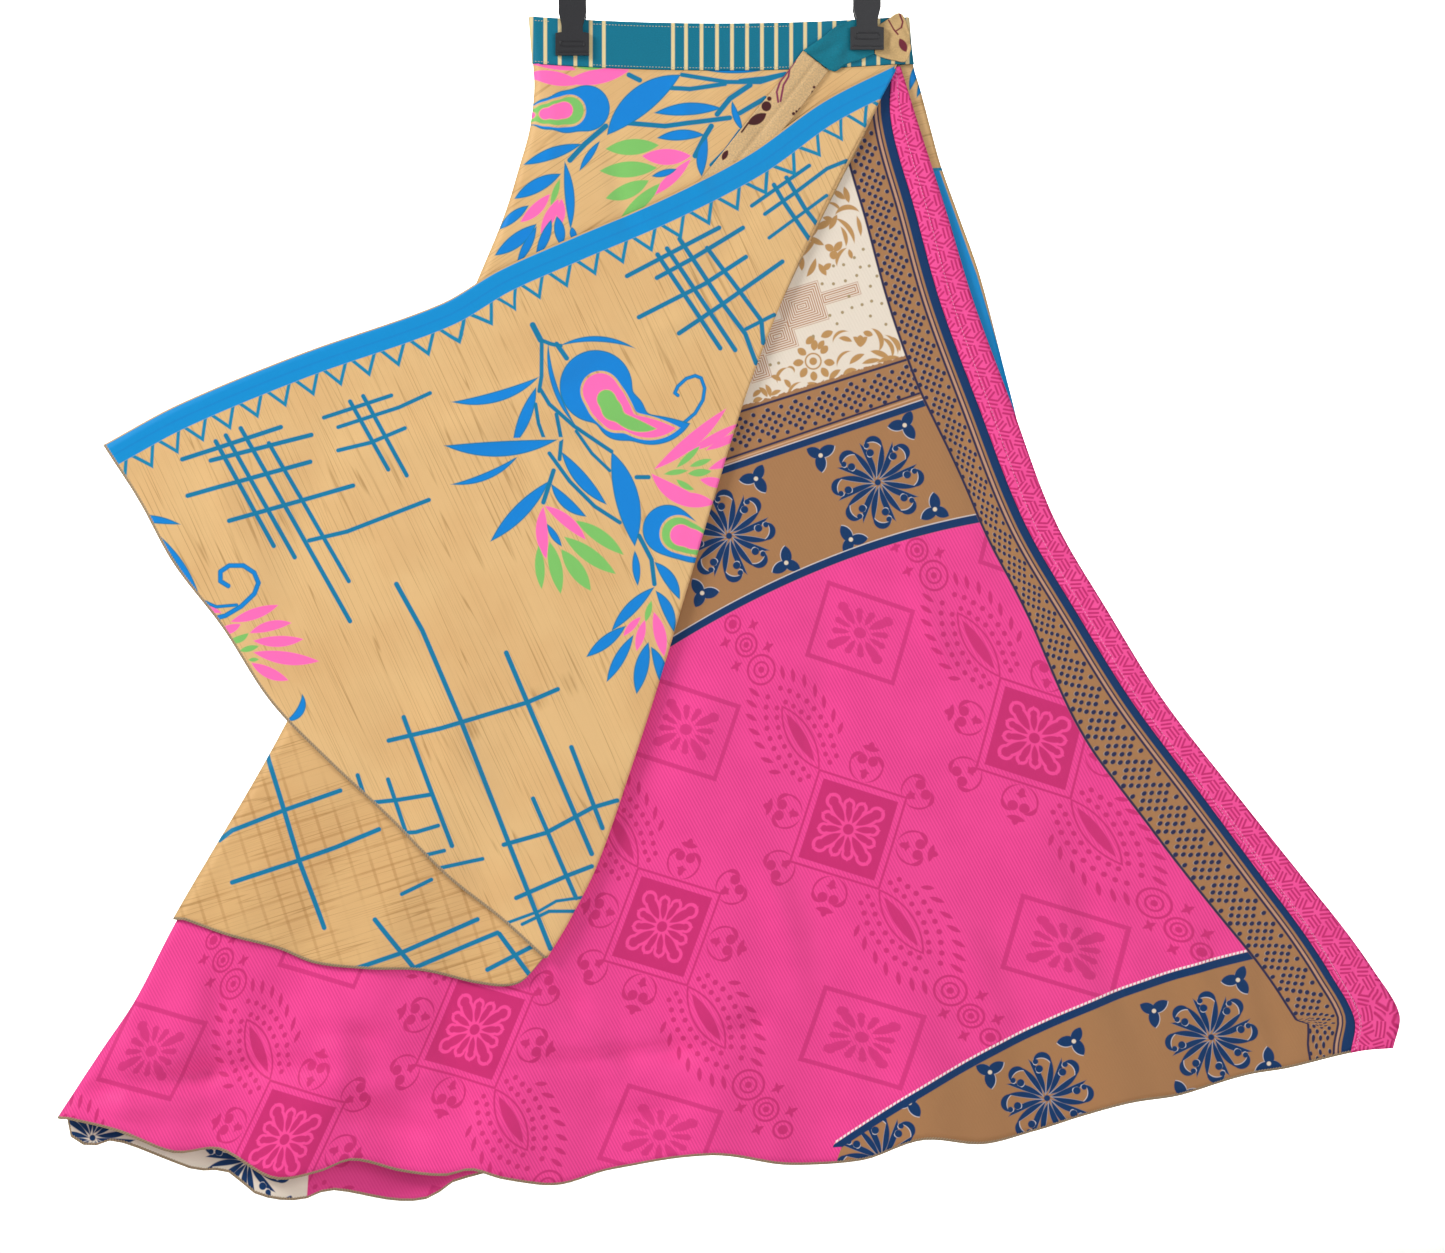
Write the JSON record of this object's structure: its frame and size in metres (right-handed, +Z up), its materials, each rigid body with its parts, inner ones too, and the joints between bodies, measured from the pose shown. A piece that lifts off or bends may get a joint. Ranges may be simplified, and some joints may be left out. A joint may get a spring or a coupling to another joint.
{
  "type": "wrap skirt on a clip hanger",
  "caption": "Reversible two-layer printed silk wrap skirt hung flat from a clip hanger, its front corner folded across to show the reverse and the longer layer beneath.",
  "frame": {"origin": "seat of the hanger's hook: the inner top of its bend, where it rests on a rail", "axes": "+Z up, +X to the right of a viewer who faces the garment's front, -Y towards that viewer"},
  "size_m": [1.1275, 0.0438, 1.1566],
  "materials": {
    "gold_silk": "slubby gold silk printed in blue, pink and green",
    "pink_silk": "hot pink printed silk with cream, brown and navy panels",
    "facing_silk": "pink silk printed with a basket weave",
    "teal_silk": "teal silk with cream stripes",
    "black_plastic": "black moulded plastic",
    "steel_wire": "bent steel wire"
  },
  "bodies": {
    "root": {"outer_layer": "gold_silk", "inner_layer": "pink_silk", "front_edge_facing": "facing_silk", "waistband": "teal_silk", "tie_teal_stretch": "teal_silk", "tie_gold_stretch": "gold_silk", "tie_root_wrap": "gold_silk", "clip_left": "black_plastic", "clip_right": "black_plastic", "hanger_bar": "black_plastic", "hanger_hook": "steel_wire"}
  },
  "joints": []
}
